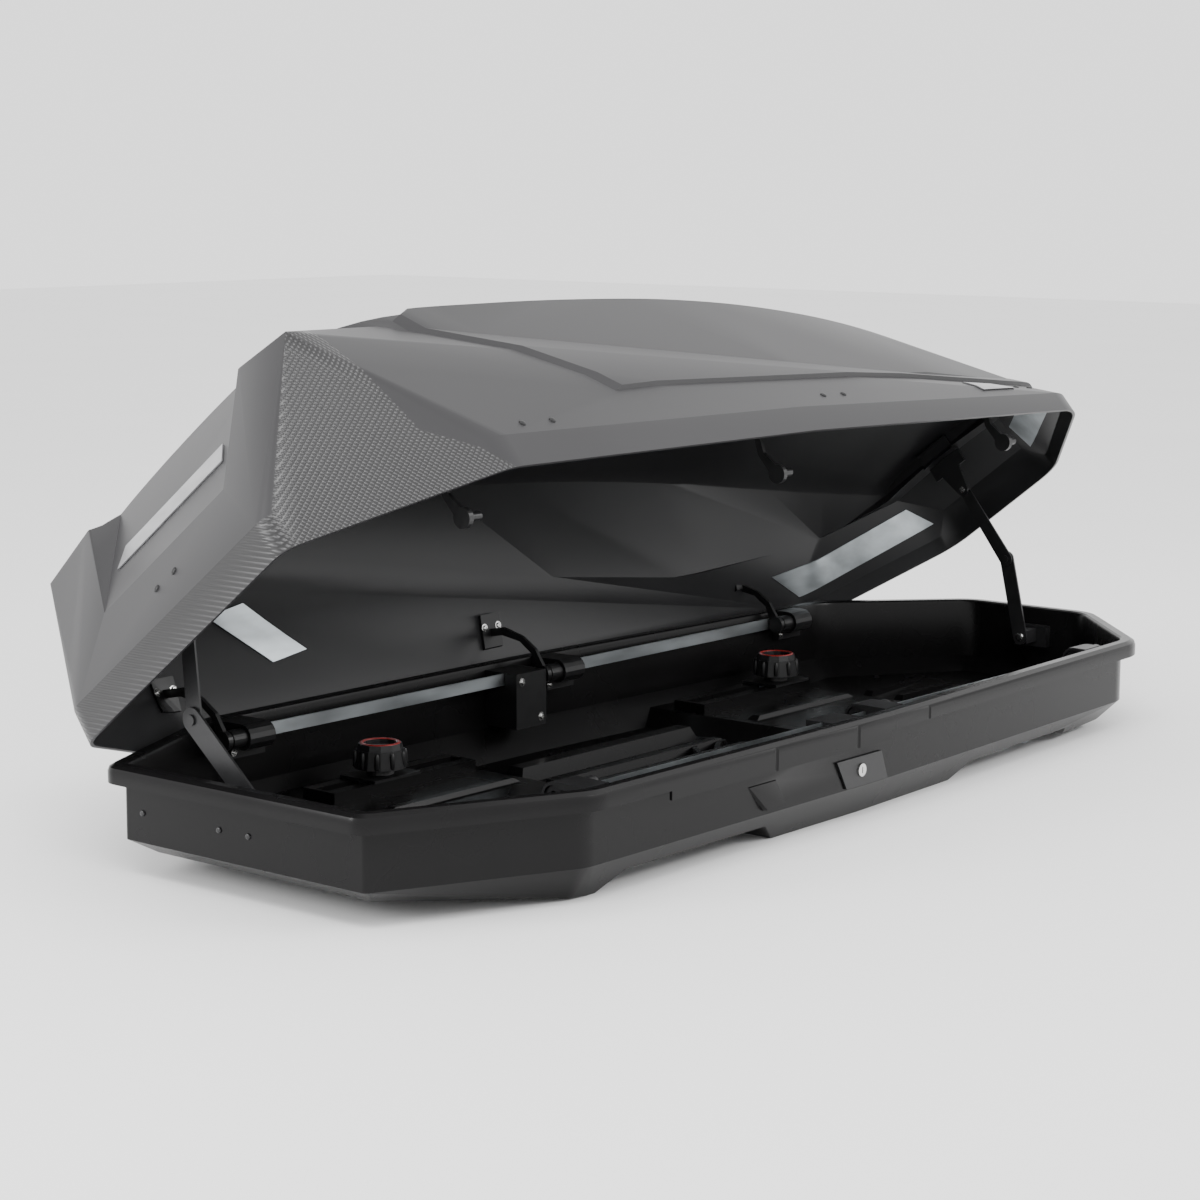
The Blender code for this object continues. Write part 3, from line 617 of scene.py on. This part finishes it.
def add_channels(tray, lower):
    """Two channels pressed up into the floor, one over each roof bar, with their rails and seats."""
    t = WALL
    for x0, x1 in CHANNELS:
        raised = channel_block("raised", x0, x1, t, -DEPTH - 0.001, -BAR_DEPTH + t, HALF_W)
        edge = lower - 0.002
        body = ring(edge, -WALL_LOW) + ring(edge, -0.09) + keel_ring(edge - LOW_IN, 0.0012)
        add(tray, combine(raised, hull("body", body), "INTERSECT"))
    for x0, x1 in CHANNELS:
        below = channel_block("below", x0, x1, 0.0, -DEPTH - 0.001, -BAR_DEPTH, HALF_W)
        low = (x0 - CHANNEL_SLOPE, -HALF_W, -DEPTH - 0.05)
        high = (x1 + CHANNEL_SLOPE, HALF_W, -DEPTH - 0.0005)
        cut(tray, add(below, box("deep", low, high)))
        for side in (-1, 1):
            add_rail(tray, x0, x1, side)
        middle = (x0 + x1) / 2
        low = (middle - SEAT_HALF_X, -SEAT_HALF_Y, -BAR_DEPTH - 0.003)
        add(tray, box("seat", low, (middle + SEAT_HALF_X, SEAT_HALF_Y, -BAR_DEPTH + 0.002)))


def add_rail(tray, x0, x1, side):
    """Rail that a clamp's carriage slides on, with the slot that its claws hang through."""
    y0, y1 = sorted((side * (CLAMP_Y - RAIL_HALF), side * (CLAMP_Y + RAIL_HALF)))
    add(tray, box("rail", (x0 + 0.004, y0, -BAR_DEPTH + 0.002), (x1 - 0.004, y1, RAIL_Z)))
    y0, y1 = sorted((side * (CLAMP_Y - SLOT_HALF), side * (CLAMP_Y + SLOT_HALF)))
    cut(tray, box("slot", (x0 + 0.010, y0, -0.16), (x1 - 0.010, y1, -0.09)))


def add_floor_ribs(tray):
    top = -BAR_DEPTH + WALL
    floor = -DEPTH + WALL - 0.0005
    for side in (-1, 1):
        for y in (0.060, 0.115):
            add(tray, ridge(*MIDDLE_RIBS, side * y, 0.012, floor, 0.012))
        add(tray, ridge(*MIDDLE_RIBS, side * 0.180, 0.020, floor, 0.022))
        for x0, x1 in CHANNELS:
            add(tray, ridge(x0 + 0.015, x1 - 0.015, side * 0.110, 0.010, top - 0.0005, 0.007))
    for radius in ARC_RADII:
        add(tray, arc_rib(ARCS_AT, radius, 100, 260, 0.007, floor, 0.010))
    for i in range(5):
        y = -0.12 + END_RIB_PITCH * i
        add(tray, ridge(0.610, 0.780, y, 0.010, floor + 0.009, 0.014))
        add(tray, ridge(-0.790, -0.620, y, 0.010, floor, 0.012))


def add_wall_details(tray):
    """Grooves across the rim, the deeper apron and the wedge pressed into the near and far walls."""
    for side in (-1, 1):
        skirt = sorted((side * (HALF_W - WALL), side * HALF_W))
        apron = [(x, y, z) for x in (-0.520, TAPER_X) for y in skirt for z in (-0.016, -0.036)]
        add(tray, hull("apron", apron))
        for x in RIM_GROOVES:
            y = side * (half_width(x) + 0.0042)
            profile = ((0, -0.06), (0.006, -0.06), (0.006, 0.02), (0, 0.02))
            cut(tray, turned("groove", profile, (x, y, 0.0), "z", 16))
        wall = sorted((side * (HALF_W - RIM_IN - 0.02), side * (HALF_W - RIM_IN + 0.02)))
        hole = ((0, wall[0]), (LOCK_HOLE, wall[0]), (LOCK_HOLE, wall[1]), (0, wall[1]))
        cut(tray, turned("lock_hole", hole, (LOCK_X, 0.0, LOCK_Z), "y", 32))
        outer = HALF_W - RIM_IN + WALL
        wedge = [(x, side * (outer - 0.001), z) for x, z in WEDGE_FLAT]
        wedge += [(x, side * (outer + 0.0012), z) for x, z in WEDGE_LOW]
        wedge += [(x, side * (outer + 0.0075), z) for x, z in WEDGE_HIGH]
        add(tray, hull("wedge", wedge))


# ---- materials ----


class Shader:
    """A Principled material with the nodes that vary it."""

    def __init__(self, name, color, roughness, metallic=0.0):
        self.material = bpy.data.materials.new(name)
        self.material.use_nodes = True
        self.tree = self.material.node_tree
        self.out = self.tree.nodes["Principled BSDF"]
        self.out.inputs["Metallic"].default_value = metallic
        self.place = self.node("ShaderNodeTexCoord").outputs["Object"]
        self.color = color
        self.roughness = roughness
        self.height = None

    def node(self, kind, **values):
        made = self.tree.nodes.new(kind)
        for name, value in values.items():
            setattr(made, name, value)
        return made

    def link(self, source, target):
        self.tree.links.new(source, target)

    def noise(self, scale, stretch):
        made = self.node("ShaderNodeTexNoise")
        made.inputs["Scale"].default_value = scale
        made.inputs["Detail"].default_value = 3.0
        place = self.place
        if stretch:
            mapping = self.node("ShaderNodeMapping")
            mapping.inputs["Scale"].default_value = stretch
            self.link(place, mapping.inputs["Vector"])
            place = mapping.outputs["Vector"]
        self.link(place, made.inputs["Vector"])
        return made.outputs["Fac"]

    def vary(self, fac, spread, rough_spread):
        """Lets a texture move the colour and the roughness around their middle values."""
        ramp = self.node("ShaderNodeValToRGB")
        ramp.color_ramp.elements[0].position = 0.3
        ramp.color_ramp.elements[1].position = 0.7
        for element, part in zip(ramp.color_ramp.elements, (1 - spread, 1 + spread)):
            element.color = (*(c * part for c in self.color), 1.0)
        self.link(fac, ramp.inputs["Fac"])
        self.link(ramp.outputs["Color"], self.out.inputs["Base Color"])
        span = self.node("ShaderNodeMapRange")
        span.inputs["To Min"].default_value = self.roughness - rough_spread
        span.inputs["To Max"].default_value = self.roughness + rough_spread
        self.link(fac, span.inputs["Value"])
        self.link(span.outputs["Result"], self.out.inputs["Roughness"])

    def bump(self, height, strength, distance):
        made = self.node("ShaderNodeBump")
        made.inputs["Strength"].default_value = strength
        made.inputs["Distance"].default_value = distance
        self.link(height, made.inputs["Height"])
        if self.height:
            self.link(self.height, made.inputs["Normal"])
        self.height = made.outputs["Normal"]
        self.link(self.height, self.out.inputs["Normal"])

    def diamonds(self, pitch):
        """Height field of small crossing ribs."""
        heights = []
        for way in (1.0, -1.0):
            mapping = self.node("ShaderNodeMapping")
            mapping.inputs["Rotation"].default_value = (0.0, math.radians(45.0 * way), 0.0)
            self.link(self.place, mapping.inputs["Vector"])
            wave = self.node("ShaderNodeTexWave", bands_direction="X")
            wave.inputs["Scale"].default_value = math.tau / (20.0 * pitch)
            self.link(mapping.outputs["Vector"], wave.inputs["Vector"])
            heights.append(wave.outputs["Fac"])
        product = self.node("ShaderNodeMath", operation="MULTIPLY")
        self.link(heights[0], product.inputs[0])
        self.link(heights[1], product.inputs[1])
        return product.outputs["Value"]


def finished(name, color, roughness, metallic, specular, mottle, bump, stretch=None):
    """mottle: scale, colour spread, roughness spread; bump: scale, strength, distance in metres."""
    made = Shader(name, color, roughness, metallic)
    scale, spread, rough_spread = mottle
    made.vary(made.noise(scale, stretch), spread, rough_spread)
    scale, strength, distance = bump
    made.bump(made.noise(scale, stretch), strength, distance)
    made.out.inputs["Specular IOR Level"].default_value = specular
    return made.material


WEAVE_PITCH = 0.0046


def woven_abs():
    made = Shader("woven_abs", (0.030, 0.0295, 0.031), 0.36)
    weave = made.diamonds(WEAVE_PITCH)
    made.vary(weave, 0.55, 0.05)
    made.bump(weave, 0.70, 0.0010)
    return made.material


FINISHES = {
    # name, colour, roughness, metallic, specular, mottle, bump, stretch where it has a grain
    "satin": ("satin_abs", (0.026, 0.0255, 0.027), 0.38, 0.0, 0.30, (5.0, 0.06, 0.03), (900.0, 0.10, 0.0003)),
    # inner: a darker copy of the satin ABS for the lid's inside faces, its darker colour is painted shade of
    # the hollow under the lid
    "inner": ("inner_abs_painted_shade", (0.014, 0.014, 0.015), 0.36, 0.0, 0.4, (6.0, 0.10, 0.04), (700.0, 0.12, 0.0003)),
    "grained": (
        "grained_abs", (0.0045, 0.0043, 0.0045), 0.27, 0.0, 0.16,
        (7.0, 0.12, 0.05), (420.0, 0.12, 0.0004),
    ),
    "nylon": (
        "glass_nylon", (0.007, 0.007, 0.0075), 0.40, 0.0, 0.4,
        (60.0, 0.25, 0.06), (700.0, 0.25, 0.0004),
    ),
    "zinc": (
        "zinc_strip", (0.50, 0.54, 0.56), 0.36, 1.0, 0.5,
        (38.0, 0.18, 0.08), (240.0, 0.12, 0.0003), (0.25, 1.0, 1.0),
    ),
    "coated": ("powder_coat", (0.018, 0.018, 0.019), 0.38, 0.3, 0.5, (30.0, 0.15, 0.06), (500.0, 0.22, 0.0004)),
    "chrome": ("bright_metal", (0.62, 0.62, 0.61), 0.24, 1.0, 0.5, (90.0, 0.10, 0.07), (350.0, 0.06, 0.0002)),
    "plate": (
        "plate_metal", (0.40, 0.40, 0.41), 0.32, 0.8, 0.5,
        (45.0, 0.14, 0.07), (300.0, 0.10, 0.0003), (1.0, 0.12, 1.0),
    ),
    "red": ("red_plastic", (0.30, 0.012, 0.010), 0.35, 0.0, 0.5, (50.0, 0.15, 0.05), (600.0, 0.15, 0.0003)),
    "floor": ("studio_floor", (0.86, 0.86, 0.86), 0.75, 0.0, 0.5, (1.5, 0.01, 0.03), (120.0, 0.03, 0.0004)),
}


def all_shaders():
    shaders = {word: finished(*values) for word, values in FINISHES.items()}
    shaders["woven"] = woven_abs()
    return shaders


# ---- CAD nodes that are shown ----


NODE_FINISHES = (
    # part of the node's name, finish, width of its rounded edges; the first that fits counts
    ("lifter_", "coated", 0.0010),
    ("lid_badge", "plate", 0.0006),
    ("lid_rear_plate", "plate", 0.0009),
    ("_bracket_", "nylon", 0.0012),
    ("_sleeve_", "nylon", 0.0012),
    ("_housing_", "nylon", 0.0016),
    ("_lock_case", "nylon", 0.0030),
    ("_escutcheon", "nylon", 0.0010),
    ("_knob", "nylon", 0.0020),
    ("_carriage", "nylon", 0.0014),
    ("_bar", "zinc", 0.0006),
    ("_spindle", "zinc", 0.0006),
    ("_claw_", "zinc", 0.0008),
    ("_key_plug", "chrome", 0.0005),
)
NODE_SHARP = 32.0


def dress_nodes(shaders):
    """Rounded edges and a finish for every CAD node that keeps its own mesh."""
    for name, obj in frame["nodes"].items():
        if name in ("tray", "lid"):
            continue
        _, shader, width = next(row for row in NODE_FINISHES if row[0] in name)
        obj.data.materials.clear()
        obj.data.materials.append(shaders[shader])
        step = obj.modifiers.new("rounded", "BEVEL")
        step.width = width
        step.segments = 2
        step.limit_method = "ANGLE"
        step.angle_limit = math.radians(NODE_SHARP)
        step.harden_normals = True
        step.use_clamp_overlap = True
        smooth(obj, NODE_SHARP)


# ---- small pieces ----


def facing(obj, spot, normal):
    """Turns a piece modelled along +Z to look along the normal, standing on the spot."""
    turn = Vector(normal).to_track_quat("Z", "Y").to_matrix().to_4x4()
    obj.data.transform(Matrix.Translation(spot) @ turn)
    return obj


def rivet(name, spot, normal, radius=0.0048):
    profile = ((0, -0.0006), (radius, -0.0006), (radius, 0.0006), (radius * 0.86, 0.0018))
    profile += ((radius * 0.5, 0.0026), (0, 0.0028))
    return facing(turned(name, profile, (0, 0, 0), "z", 24), spot, normal)


def screw(name, spot, normal, radius):
    """Pan head with a cross recess, on a washer."""
    wide = radius * 1.55
    profile = ((0, -0.0006), (wide, -0.0006), (wide, 0.0008), (radius, 0.0010), (radius, 0.0028))
    profile += ((radius * 0.75, 0.0036), (0, 0.0038))
    head = turned(name, profile, (0, 0, 0), "z", 32)
    long, thin = radius * 0.55, radius * 0.16
    cross = box("cross", (-long, -thin, 0.0022), (long, thin, 0.01))
    add(cross, box("bar", (-thin, -long, 0.0022), (thin, long, 0.01)))
    return facing(cut(head, cross), spot, normal)


def surface_hits(obj, rays):
    """Where each ray (start, way) first meets the mesh: (spot, normal)."""
    bm = bmesh.new()
    bm.from_mesh(obj.data)
    tree = BVHTree.FromBMesh(bm)
    hits = [tree.ray_cast(Vector(start), Vector(way))[:2] for start, way in rays]
    bm.free()
    return hits


SIDE_RIVETS = (
    (-0.598, 0.044),
    (-0.541, 0.044),
    (0.062, 0.045),
    (0.115, 0.045),
    (0.650, 0.048),
    (0.700, 0.048),
)
REAR_RIVETS_Y, REAR_RIVETS_Z = (0.014, -0.026), 0.092
OUTSIDE_X, OUTSIDE_Y = 1.2, 0.5  # where rays from outside the box start


def add_lid_rivets(lid_closed, shader):
    rays = []
    for side in (-1, 1):
        for x, z in SIDE_RIVETS:
            rays.append(((x, side * OUTSIDE_Y, z + LID_RISE), (0, -side, 0)))
    for y in REAR_RIVETS_Y:
        rays.append(((-OUTSIDE_X, y, REAR_RIVETS_Z), (1, 0, 0)))
    for i, (spot, normal) in enumerate(surface_hits(lid_closed, rays)):
        piece = rivet(f"lid_rivet_{i:02d}", spot, normal)
        finish_piece(piece, "lid_body", shader, LID_PLACE)


STIFFENERS = {
    # corners in x and z on the lid's inner side walls
    "rear": ((-0.582, 0.182), (-0.513, 0.191), (-0.411, 0.117), (-0.480, 0.108)),
    "front": ((0.636, 0.073), (0.878, 0.085), (0.920, 0.046), (0.716, 0.038)),
}


def ribbon(name, lid_closed, corners, side):
    """Thin strip that follows the lid's inner wall between four corners."""
    steps, across = 24, 3
    a, b, c, d = (Vector(corner) for corner in corners)
    rays = []
    for i in range(steps + 1):
        for j in range(across + 1):
            u, v = i / steps, j / across
            x, z = a.lerp(b, u).lerp(d.lerp(c, u), v)
            rays.append(((x, side * 0.03, z), (0, side, 0)))
    hits = surface_hits(lid_closed, rays)
    bm = bmesh.new()
    skins = [[bm.verts.new(spot + way * off) for spot, way in hits] for off in (0.0016, -0.0006)]
    width = across + 1
    for k, skin in enumerate(skins):
        for i in range(steps):
            for j in range(across):
                first = i * width + j
                quad = (first, first + 1, first + width + 1, first + width)
                bm.faces.new([skin[n] for n in (quad if k else quad[::-1])])
    edge = [i * width for i in range(steps + 1)]
    edge += [steps * width + j for j in range(1, across + 1)]
    edge += [i * width + across for i in range(steps - 1, -1, -1)]
    edge += list(range(across - 1, 0, -1))
    for one, two in zip(edge, edge[1:] + edge[:1]):
        bm.faces.new((skins[0][one], skins[0][two], skins[1][two], skins[1][one]))
    return new_object(name, bm)


def add_stiffeners(lid_closed, shader):
    for place, corners in STIFFENERS.items():
        for word, side in SIDES:
            piece = ribbon(f"{word}_{place}_stiffener", lid_closed, corners, side)
            finish_piece(piece, "lid_body", shader, LID_PLACE)


def add_tray_bolts(tray_flat, shader):
    rays = [((-OUTSIDE_X, y, -0.060), (1, 0, 0)) for y in (0.175, 0.037, -0.014)]
    rays += [((OUTSIDE_X, y, -0.062), (-1, 0, 0)) for y in (0.030, -0.030)]
    for i, (spot, normal) in enumerate(surface_hits(tray_flat, rays)):
        piece = rivet(f"tray_bolt_{i:02d}", spot, normal, 0.0042)
        finish_piece(piece, "tray_body", shader, TRAY_PLACE)


LID_SCREW_STEPS = (-0.0585, -0.0290)  # along x from the hinge unit
LID_SCREW_Y, LID_SCREW_Z = 0.15, 0.080


def add_bracket_screws(word, unit, side, shader):
    """Screws in the foot of one lid bracket, where a ray from inside the lid meets the foot."""
    way = LID_PLACE.to_3x3() @ Vector((0, side, 0))
    rays = []
    for step in LID_SCREW_STEPS:
        start = Vector((HINGE_X[unit] + step, side * LID_SCREW_Y, LID_SCREW_Z + LID_RISE))
        rays.append((LID_PLACE @ start, way))
    hits = surface_hits(frame["nodes"][f"{word}_bracket_{unit}"], rays)
    for k, (spot, normal) in enumerate(hits):
        if spot:
            piece = screw(f"{word}_{unit}_lid_screw_{k}", spot, normal, 0.0040)
            finish_piece(piece, "lid_body", shader)


def add_hinge_screws(shader):
    for unit in HINGE_X:
        for word, side in SIDES:
            add_bracket_screws(word, unit, side, shader)
            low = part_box(f"{word}_housing_{unit}")[0]
            spot = (low.x + 0.0045, side * (HINGE_Y + 0.0121), HINGE_Z - 0.0215)
            piece = screw(f"{word}_{unit}_tray_screw", spot, (0, -side, 0), 0.0034)
            finish_piece(piece, "tray_body", shader, TRAY_PLACE)


def add_lock_screws(shader):
    for word, side in SIDES:
        low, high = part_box(f"{word}_lock_case")
        y = low.y if side > 0 else high.y
        corners = ((low.x + 0.012, high.z - 0.013), (high.x - 0.012, low.z + 0.013))
        for k, (x, z) in enumerate(corners):
            piece = screw(f"{word}_lock_screw_{k}", (x, y, z), (0, -side, 0), 0.0042)
            finish_piece(piece, "tray_body", shader)


RING_SHARE = 0.70  # of the knob's radius
RING_HALF_W, RING_HALF_H = 0.0028, 0.0020
GRIPS = 10


def add_knob_rings(red, black):
    for tag in ("rf", "rn", "ff", "fn"):
        low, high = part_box(f"clamp_{tag}_knob")
        mid = (low + high) / 2
        radius = (high.x - low.x) / 2
        top = high.z
        section = []
        for k in range(12):
            a = math.tau * k / 12
            height = top - 0.0006 + RING_HALF_H * math.sin(a)
            section.append((radius * RING_SHARE + RING_HALF_W * math.cos(a), height))
        piece = torus(f"clamp_{tag}_ring", section, mid)
        finish_piece(piece, f"clamp_{tag}_screw", red)
        for k in range(GRIPS):
            piece = grip_rib(f"clamp_{tag}_grip_{k}", mid, radius, math.tau * k / GRIPS, low.z, top)
            finish_piece(piece, f"clamp_{tag}_screw", black)


def torus(name, section, center):
    """Closed ring round the vertical axis. The section is (radius, height) pairs."""
    count = 56
    bm = bmesh.new()
    rows = []
    for i in range(count):
        a = math.tau * i / count
        row = []
        for radius, height in section:
            spot = (center.x + radius * math.cos(a), center.y + radius * math.sin(a), height)
            row.append(bm.verts.new(spot))
        rows.append(row)
    for i in range(count):
        one, two = rows[i], rows[(i + 1) % count]
        for j in range(len(one)):
            k = (j + 1) % len(one)
            bm.faces.new((one[j], two[j], two[k], one[k]))
    return new_object(name, bm)


def grip_rib(name, center, radius, angle, low, top):
    """Upright rounded rib on the side of a knob."""
    height = (top - low) * 0.68
    base = radius * 0.945
    profile = ((0, 0), (0.0032, 0.0008), (0.0040, 0.003))
    profile += ((0.0036, height * 0.85), (0.0022, height), (0, height))
    rib = turned(name, profile, (0, 0, 0), "z", 12)
    spot = (center.x + base * math.cos(angle), center.y + base * math.sin(angle), low + 0.0005)
    rib.data.transform(Matrix.Translation(spot))
    return rib


def add_pivot_heads(shader):
    """Domed heads on the lifters' pivots in the tray and in the lid."""
    for end, way in (("rear", 1), ("front", -1)):
        for level, body in (("lower", "tray_body"), ("upper", "lid_body")):
            pivot = next(j for j in frame["joints"] if j["name"] == f"{end}_{level}_turn")["pos_m"]
            low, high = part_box(f"{end}_lifter_{level}_arm")
            x = high.x if way > 0 else low.x
            spot = (x + way * 0.0008, pivot[1], pivot[2])
            head = rivet(f"{end}_{level}_head", spot, (way, 0, 0), 0.0075)
            finish_piece(head, body, shader)


# ---- studio ----

CAMERA_AT = (-3.16326, -2.39427, 0.87877)
CAMERA_LOOK = (0.76510106, 0.6253893, -0.15332515)
CAMERA_RIGHT = (0.63327373, -0.77392056, 0.00337037)
LENS = 83.03
SENSOR = 36.0
WORLD_STRENGTH = 1.8
FLOOR_HALF = 14.0
LIGHTS = (
    # name, place, target, size, power
    ("key", (-2.4, -1.4, 3.8), (0.0, 0.1, 0.3), (2.6, 1.4), 130.0),
    ("rear_fill", (-3.6, 1.4, 1.6), (-0.6, 0.1, 0.2), (1.2, 1.4), 70.0),
    ("rim_glint", (1.4, -3.2, 2.0), (0.2, -0.3, 0.1), (2.6, 0.5), 70.0),
)


def add_camera():
    data = bpy.data.cameras.new("camera")
    data.lens = LENS
    data.sensor_width = SENSOR
    camera = bpy.data.objects.new("camera", data)
    look, right = Vector(CAMERA_LOOK), Vector(CAMERA_RIGHT)
    up = right.cross(look)
    turn = Matrix((right, up, -look)).transposed().to_4x4()
    camera.matrix_world = Matrix.Translation(CAMERA_AT) @ turn
    bpy.context.scene.collection.objects.link(camera)
    bpy.context.scene.camera = camera


def add_light(name, spot, target, size, power):
    data = bpy.data.lights.new(name, "AREA")
    data.shape = "RECTANGLE"
    data.size, data.size_y = size
    data.energy = power
    light = bpy.data.objects.new(name, data)
    way = Vector(target) - Vector(spot)
    light.matrix_world = Matrix.Translation(spot) @ way.to_track_quat("-Z", "Y").to_matrix().to_4x4()
    bpy.context.scene.collection.objects.link(light)


def add_studio(floor_shader):
    world = bpy.data.worlds.new("white_studio")
    world.use_nodes = True
    background = world.node_tree.nodes["Background"]
    background.inputs["Color"].default_value = (1.0, 1.0, 1.0, 1.0)
    background.inputs["Strength"].default_value = WORLD_STRENGTH
    bpy.context.scene.world = world
    for light in LIGHTS:
        add_light(*light)
    under = (-FLOOR_HALF, -FLOOR_HALF, CAD_LOW.z - 0.02)
    floor = box("studio_floor", under, (FLOOR_HALF, FLOOR_HALF, CAD_LOW.z - 0.0004))
    floor.data.materials.append(floor_shader)


# ---- assembly ----


def main():
    shaders = all_shaders()
    dress_nodes(shaders)
    lid = make_lid(shaders["satin"], shaders["woven"], shaders["inner"])
    add_lid_rivets(lid, shaders["nylon"])
    add_stiffeners(lid, shaders["zinc"])
    lid.data.transform(LID_PLACE)
    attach(lid, "lid_body")
    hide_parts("lid")
    tray = make_tray()
    add_tray_bolts(tray, shaders["coated"])
    finish_piece(tray, "tray_body", shaders["grained"], TRAY_PLACE, ("tray",), 28.0)
    add_hinge_screws(shaders["chrome"])
    add_lock_screws(shaders["chrome"])
    add_knob_rings(shaders["red"], shaders["nylon"])
    add_pivot_heads(shaders["chrome"])
    add_camera()
    add_studio(shaders["floor"])


main()
